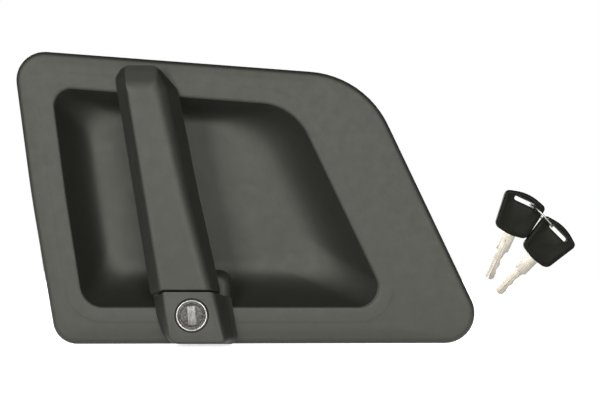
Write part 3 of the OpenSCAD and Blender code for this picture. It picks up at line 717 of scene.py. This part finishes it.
COVER_BASE = [(-63.5, -68.5), (-12.5, -68.5), (-6.5, -102.0), (-55.0, -102.0), (-61.8, -82.0)]
COVER_FACE = [(-56.5, -64.1), (-21.3, -64.1), (-12.6, -99.3), (-51.0, -99.3), (-54.2, -82.0)]
COVER_BASE_RADII = [1.5, 1.5, 6, 14, 40]
COVER_FACE_RADII = [0.8, 0.8, 2.2, 5, 60]
COVER_FOOT = 2.2


def cover_ring(height):
    """Outline of the lock's cover at a height above the plate."""
    total = PLATE_FRONT - GRIP_FRONT
    left = flank_share(height, total, 7.0, 2.0)
    right = flank_share(height, total, 8.3, 4.5)
    top = height / total
    low = flank_share(height, total, 2.7, 1.6)
    foot = COVER_FOOT * max(1 - height / 6, 0) ** 2
    across = [left, right, right, left, left]
    along = [top, top, low, low, low]
    flare = [-0.3 * foot, foot, foot, -0.3 * foot, -0.3 * foot]
    corners = []
    for base, face, s, t, out in zip(COVER_BASE, COVER_FACE, across, along, flare):
        corners.append((base[0] + (face[0] - base[0]) * s + out, base[1] + (face[1] - base[1]) * t))
    radii = [b + (f - b) * height / total for b, f in zip(COVER_BASE_RADII, COVER_FACE_RADII)]
    return ring_at(rounded(corners, radii, 8, 6), PLATE_FRONT - height)


def lock_bore_cutter():
    """Stepped bore for the lock: a shallow recess around the ring, then the cylinder."""
    deep, wide, narrow = GRIP_FRONT + 2.5, LOCK_RADIUS + 0.55, 10.55
    circles = [(wide + 0.5, GRIP_FRONT - 1), (wide + 0.5, GRIP_FRONT - 0.02), (wide, GRIP_FRONT + 0.45),
               (wide, deep), (narrow, deep), (narrow, 1.0)]
    bm = bmesh.new()
    loft(bm, lock_rings(circles))
    return mesh_object("lock_bore_cutter", bm)


def cover_piece():
    total = PLATE_FRONT - GRIP_FRONT
    heights = [0.0, 0.4, 0.9, 1.6, 2.6, 4.0, 6.0] + [6 + (total - 10) * i / 6 for i in range(1, 7)]
    heights += [total - 4 + 4 * math.sin(math.radians(9 * i)) for i in range(1, 11)]
    bm = bmesh.new()
    loft(bm, [cover_ring(h) for h in heights])
    return cut(mesh_object("lock_head", bm, 38), lock_bore_cutter())


def bezel_piece():
    """Bright ring with a softly domed crown."""
    outer, inner, root, crown = LOCK_RADIUS, LOCK_RADIUS - 1.5, GRIP_FRONT + 1, GRIP_FRONT - 1
    profile = [(inner, root), (outer, root), (outer, crown + 0.6), (outer - 0.12, crown + 0.25),
               (outer - 0.4, crown + 0.03), (outer - 0.75, crown), (outer - 1.1, crown + 0.06),
               (outer - 1.35, crown + 0.3), (inner, crown + 0.7)]
    bm = bmesh.new()
    lathe(bm, LOCK_X, LOCK_Z, profile, 128)
    return mesh_object("bezel", bm, 60)


SHUTTER_WIDTH, SHUTTER_HEIGHT, SHUTTER_TILT = 5.8, 13.4, -6.0


def tilt_with_shutter(bm):
    """Moves a mesh made upright around zero to the lock's axis, turned as the shutter stands."""
    centre = Vector((LOCK_X, 0, LOCK_Z))
    turn = Matrix.Rotation(math.radians(SHUTTER_TILT), 4, "Y")
    bmesh.ops.transform(bm, matrix=Matrix.Translation(centre) @ turn, verts=bm.verts)


def face_piece():
    """Turning disc of the lock, with a raised rim, a groove and the keyhole's opening."""
    steps = [(9.1, -29.05), (9.1, -30.1), (8.95, -30.27), (8.75, -30.3), (8.1, -30.3), (7.95, -30.22),
             (7.8, -30.06), (7.6, -30.06), (7.45, -30.16), (7.2, -30.2), (4.0, -30.24)]
    bm = bmesh.new()
    loft(bm, lock_rings(steps))
    disc = mesh_object("lock_disc", bm, 30)
    bm = bmesh.new()
    gap = 0.12
    w, h = SHUTTER_WIDTH / 2 + gap, SHUTTER_HEIGHT / 2 + gap
    opening = [(-w, h), (w, h), (w, -h), (-w, -h)]
    round_prism(bm, lambda run: rounded(inset(opening, run), [0.5] * 4, 4, 1), -33, -28, 0.01, 1)
    tilt_with_shutter(bm)
    return cut(disc, mesh_object("shutter_opening", bm))


def shutter_piece():
    """Sprung dust shutter with fine upright ribs."""
    ribs, per_rib = 5, 8
    half_w, half_h = SHUTTER_WIDTH / 2, SHUTTER_HEIGHT / 2
    bm = bmesh.new()
    rings = []
    for z, drop in ((-half_h, 0.3), (-half_h + 0.12, 0.1), (-half_h + 0.4, 0), (-2, 0), (2, 0),
                    (half_h - 0.4, 0), (half_h - 0.12, 0.1), (half_h, 0.3)):
        ring = []
        for i in range(ribs * per_rib + 1):
            t = i / (ribs * per_rib)
            wave = 0.5 - 0.5 * math.cos(2 * math.pi * ribs * t)
            ring.append(Vector((half_w * (2 * t - 1), GRIP_FRONT + 0.1 + drop - 0.22 * wave, z)))
        ring += [Vector((half_w, GRIP_FRONT + 0.9, z)), Vector((-half_w, GRIP_FRONT + 0.9, z))]
        rings.append(ring)
    loft(bm, rings)
    tilt_with_shutter(bm)
    return mesh_object("dust_shutter", bm, 50)


dress(cover_piece(), "root", GREY, "grey_moulding", "lock_cover")
dress(bezel_piece(), "root", BRIGHT, "bright_ring", "lock_bezel")
dress(face_piece(), "lock_plug_body", FACE_METAL, "lock_face_metal", "lock_face")
dress(shutter_piece(), "lock_plug_body", SHUTTER_STEEL, "shutter_steel", "lock_shutter")


# ---- Springs and studs ---------------------------------------------------------------------

def helix(centre_at, radius, turns):
    """Points of a coil; centre_at(t) gives its centre and its two cross directions at share t."""
    per_turn = 28
    points = []
    for i in range(int(turns * per_turn) + 1):
        t = i / (turns * per_turn)
        centre, u, w = centre_at(t)
        a = 2 * math.pi * turns * t
        points.append(centre + radius * (math.cos(a) * u + math.sin(a) * w))
    return points


def grip_spring_piece(side):
    """Torsion spring around the hinge pin, with a short leg at the start of its coil."""
    def centre_at(t):
        here = leaned((side * (11.6 - 3.4 * t), 0, 0))
        return here, Vector((0, -1, 0)), leaned((0, 0, 1)) - PIVOT
    coil = helix(centre_at, 4.6, 2.5)
    foot = coil[0] + 0.72 * ((leaned((0, 0, 6)) - PIVOT) + Vector((0, -1.0, 0)))
    return tube("hinge_spring_left" if side < 0 else "hinge_spring_right", [foot] + coil, 0.8)


def crank_spring_piece():
    """Torsion spring around the crank's pin."""
    reach, droop = 24, math.radians(9)
    crank = leaned((reach * math.cos(droop), 0, -8.3 - reach * math.sin(droop)))

    def centre_at(t):
        return Vector((crank.x, 39.5 + 1.5 * t, crank.z)), Vector((1, 0, 0)), Vector((0, 0, 1))
    return tube("crank_return_spring", helix(centre_at, 7.1, 1.75), 0.7)


def studs_piece():
    """Six flanged studs with rolled threads."""
    pitch, depth, sides, length, flange = 1.0, 0.55, 28, 18.0, 4.5
    rows = int(length / 0.125)
    bm = bmesh.new()
    for x, z in STUD_POINTS:
        foot = Vector((x, -2.9, z))
        rings = [[foot + flange * Vector((math.sin(t), 0, math.cos(t))) for t in full_turn(sides)]]
        rings.append([p + Vector((0, 2.0, 0)) for p in rings[0]])
        rings.append([p + Vector((0, 0.3, 0)) - 0.3 * (p - Vector((x, -0.9, z))).normalized()
                      for p in rings[1]])
        for i in range(rows + 1):
            y = -0.5 + (length + 0.5) * i / rows
            ring = []
            for j, t in enumerate(full_turn(sides)):
                phase = (y / pitch - j / sides) % 1
                crest = abs(2 * phase - 1)
                lead = min(max((length - 0.2 - y) / 0.9, 0), 1)
                radius = 3.0 - depth * (1 - crest * lead) if y > 1.5 else 3.0
                ring.append(Vector((x + radius * math.sin(t), y, z + radius * math.cos(t))))
            rings.append(ring)
        loft(bm, rings)
    return mesh_object("threaded_studs", bm, 50)


for side in (-1, 1):
    dress(grip_spring_piece(side), "root", SPRING_STEEL, "spring_steel", "grip_spring")
dress(crank_spring_piece(), "root", SPRING_STEEL, "spring_steel", "crank_spring")
dress(studs_piece(), "root", ZINC_PLATED, "zinc_plated_steel", "mounting_studs")


# ---- Keys ----------------------------------------------------------------------------------

BOW_OUTLINE = [(-15.5, 11.5), (0, 16), (15.5, 11.5), (12.1, -14.5), (0, -16.5), (-12.1, -14.5)]
BOW_RADII = [3.5, 30, 3.5, 5, 30, 5]
SLOT_OUTLINE = [(-8, 10.6), (8, 10.6), (8, 7.4), (-8, 7.4)]


def place_key(bm, index):
    """Moves a mesh made in a key's own frame, bow at zero and blade downwards, to where the key lies."""
    centre, lean, depth = KEY_PLACES[index]
    turn = Matrix.Rotation(math.radians(lean), 4, "Y")
    place = Matrix.Translation((centre[0], -depth, centre[1])) @ turn
    bmesh.ops.transform(bm, matrix=place, verts=bm.verts)


def key_prism(name, index, outline_at, y0, y1, edge, steps=3):
    """Rounded prism placed with one of the keys."""
    bm = bmesh.new()
    round_prism(bm, outline_at, y0, y1, edge, steps)
    place_key(bm, index)
    return mesh_object(name, bm)


def bow_outline(run):
    return rounded(inset(BOW_OUTLINE, run), grown(BOW_RADII, -run), 10, 3)


def bow_piece(index):
    """Moulded bow: rounded edges, a raised rim around a sunk field, and the ring's slot."""
    bow = key_prism(f"key_head_{index + 1}", index, bow_outline, 0, BOW_THICKNESS, 1.3)
    rim, sunk = 2.3, 0.55

    def field(run):
        return rounded(inset(BOW_OUTLINE, rim + run), grown(BOW_RADII, -rim - run), 10, 3)

    def slot(run):
        return rounded(inset(SLOT_OUTLINE, run), [1.55 - run] * 4, 8, 2)

    def wide_slot(run):
        return rounded(inset(SLOT_OUTLINE, run - 1.3), [2.85 - run] * 4, 8, 2)
    cutters = [
        key_prism("front_field", index, field, -2, sunk, 0.3, 2),
        key_prism("rear_field", index, field, BOW_THICKNESS - sunk, BOW_THICKNESS + 2, 0.3, 2),
    ]
    cut(bow, *cutters)
    collar = key_prism(f"slot_collar_{index + 1}", index, wide_slot, 0.1, BOW_THICKNESS - 0.1, 0.35, 2)
    cut(collar, key_prism("collar_slot", index, slot, -1, BOW_THICKNESS + 1, 0.01, 1))
    return cut(bow, key_prism("bow_slot", index, slot, -1, BOW_THICKNESS + 1, 0.01, 1)), collar


def blade_outline():
    """Blade outline with shoulders and wavy cuts along its right edge, clockwise from its left end."""
    shank, tip, bottom, shoulder = 3.1, -50.5, -16.5, 12.0
    points = [(-4.4, -3), (4.4, -3), (4.4, bottom - shoulder + 0.6), (3.9, bottom - shoulder)]
    points.append((shank, bottom - shoulder - 0.2))
    cuts, pitch = [0.6, 1.2, 0.3, 0.9, 0.1], 3.6
    start = bottom - shoulder - 1.6
    for k, depth in enumerate(cuts):
        points += [(shank - depth, start - (k + 0.22) * pitch), (shank - depth, start - (k + 0.62) * pitch)]
    points += [(shank - 0.2, tip + 1.6), (1.3, tip), (-1.3, tip), (-shank, tip + 1.9)]
    points += [(-shank, bottom - shoulder - 0.2), (-3.9, bottom - shoulder)]
    points.append((-4.4, bottom - shoulder + 0.6))
    return points


def blade_piece(index):
    """Key blade with its cuts and a milled groove on each side."""
    y0 = (BOW_THICKNESS - BLADE_THICKNESS) / 2
    y1 = y0 + BLADE_THICKNESS
    points = blade_outline()
    radii = [0.35] * len(points)
    blade = key_prism(f"key_shank_{index + 1}", index,
                      lambda run: rounded(inset(points, run), [r - run * 0.5 for r in radii], 3, 1),
                      y0, y1, 0.25, 2)

    def groove(x, z0, z1, half):
        corners = [(x - half, z1), (x + half, z1), (x + half, z0), (x - half, z0)]
        return lambda run: rounded(inset(corners, run), [half * 0.9 - run] * 4, 4, 1)
    front = key_prism("front_groove", index, groove(-0.9, -52, -21, 0.75), y0 - 1, y0 + 0.7, 0.12, 1)
    rear = key_prism("rear_groove", index, groove(0.5, -52, -21, 0.65), y1 - 0.7, y1 + 1, 0.12, 1)
    return cut(blade, front, rear)


def key_ring_piece():
    """Closed wire ring through both slots."""
    radius, wire, steps, sides = 11, 0.7, 128, 12
    centre = Vector((207.4, -5, -11.8))
    turn = Matrix.Rotation(math.radians(46.7), 3, "Y")
    up = turn @ Vector((0, 0, 1))
    rings = []
    for a in full_turn(steps):
        middle = centre + turn @ Vector((radius * math.cos(a), radius * math.sin(a), 0))
        out = turn @ Vector((math.cos(a), math.sin(a), 0))
        rings.append([middle + wire * (math.cos(t) * out + math.sin(t) * up) for t in full_turn(sides)])
    bm = bmesh.new()
    rows = loft(bm, rings, False)
    first, last = rows[0], rows[-1]
    for j in range(sides):
        bm.faces.new((last[j], last[(j + 1) % sides], first[(j + 1) % sides], first[j]))
    return mesh_object("wire_ring", bm, 60)


for index in (0, 1):
    bow, collar = bow_piece(index)
    dress(bow, "key_set", KEY_BLACK, "key_black", f"key_bow_{index + 1}")
    dress(collar, "key_set", KEY_BLACK, "key_black")
    dress(blade_piece(index), "key_set", NICKEL, "key_nickel", f"key_blade_{index + 1}")
dress(key_ring_piece(), "key_set", WIRE, "ring_wire", "key_ring")


# ---- Finishes of the CAD pieces that stay --------------------------------------------------

FINISHES = {
    "plate_gasket": FOAM, "edge_clip": SPRING_STEEL,
    "grip_back": BLACK, "grip_arm": CAST_ZINC, "grip_screws": SPRING_STEEL,
    "pivot_pin": ZINC_PLATED, "pivot_bushes": BUSH, "pivot_clips": SPRING_STEEL, "grip_bumpers": RUBBER,
    "mechanism_bracket": ZINC_PLATED, "bracket_screws": ZINC_PLATED, "bell_crank": ZINC_PLATED,
    "crank_pin": ZINC_PLATED, "crank_clip": SPRING_STEEL,
    "cover_screws": ZINC_PLATED, "lock_housing": CAST_ZINC, "lock_nut": ZINC_PLATED,
    "lock_plug": BRASS, "lock_wafers": BRASS, "lock_clip": SPRING_STEEL,
    "lock_lever": ZINC_PLATED, "lock_lever_nut": ZINC_PLATED,
}

for name, finish in FINISHES.items():
    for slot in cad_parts[name].material_slots:
        slot.material = finish


# ---- Floor, light and camera ---------------------------------------------------------------

FLOOR_GLOW = 0.7


def floor_piece():
    """Round plain floor just under the plate."""
    sides, radius, gap = 128, 900, 0.6
    z = cad_low[2] / MM + ORIGIN[2] - gap
    bm = bmesh.new()
    rim = [bm.verts.new((radius * math.cos(t), radius * math.sin(t), z)) for t in full_turn(sides)]
    bm.faces.new(rim)
    floor = mesh_object("studio_floor", bm)
    material, nodes, links, shader = new_material("pale_floor")
    place = place_of(nodes)
    shade = noise(nodes, links, place, 1.5, 2)
    links.new(ramp(nodes, links, shade, [(0.3, 0.88), (0.7, 0.90)]), shader.inputs["Base Color"])
    shader.inputs["Roughness"].default_value = 0.9
    shader.inputs["Emission Color"].default_value = (1, 1, 1, 1)
    shader.inputs["Emission Strength"].default_value = FLOOR_GLOW
    floor.data.materials.append(material)


def area_light(name, place, size, watts):
    """Soft rectangular light that points at the part's origin."""
    data = bpy.data.lights.new(name, "AREA")
    data.shape = "RECTANGLE"
    data.size, data.size_y = size
    data.energy = watts
    light = new_object(name, data)
    light.location = place
    light.rotation_euler = (-Vector(place)).to_track_quat("-Z", "Y").to_euler()


def studio_world(seen, light):
    """White to the camera, dimmer as a light."""
    world = bpy.data.worlds.new("studio")
    world.use_nodes = True
    nodes, links = world.node_tree.nodes, world.node_tree.links
    nodes.clear()
    path = nodes.new("ShaderNodeLightPath")
    mix = nodes.new("ShaderNodeMix")
    mix.inputs["A"].default_value = light
    mix.inputs["B"].default_value = seen
    links.new(path.outputs["Is Camera Ray"], mix.inputs["Factor"])
    back = nodes.new("ShaderNodeBackground")
    back.inputs["Color"].default_value = (1, 1, 1, 1)
    links.new(mix.outputs["Result"], back.inputs["Strength"])
    links.new(back.outputs["Background"], nodes.new("ShaderNodeOutputWorld").inputs["Surface"])
    bpy.context.scene.world = world


floor_piece()
area_light("key", (-1.00, -2.15, 0.45), (0.7, 0.8), 52)
area_light("rear_left", (-0.5, 1.7, 0.6), (0.8, 0.8), 26)
area_light("rear_right", (0.7, 1.7, 0.4), (0.8, 0.8), 18)
area_light("front", (0.60, -2.25, 0.50), (0.9, 0.9), 50)
studio_world(1.0, 0.02)

# The camera's distance from the skin plane, an assumed one, and the width it sees at the plate, in metres
VIEW_DISTANCE = 1.088
VIEW_WIDTH = 0.420
# How far right of the part's middle and below it the camera looks, in metres
AIM_RIGHT, AIM_DOWN = 0.0034, 0.0015
SENSOR = 36.0
centre = [(low + high) / 2 for low, high in zip(cad_low, cad_high)]
camera = bpy.data.cameras.new("camera")
camera.sensor_width = SENSOR
camera.lens = SENSOR * (VIEW_DISTANCE + PLATE_FRONT * MM) / VIEW_WIDTH
camera_object = new_object("camera", camera)
camera_object.location = (centre[0] + AIM_RIGHT, -VIEW_DISTANCE, centre[2] - AIM_DOWN)
camera_object.rotation_euler = (math.radians(90), 0, 0)
bpy.context.scene.camera = camera_object
bpy.context.scene.view_settings.view_transform = "Standard"
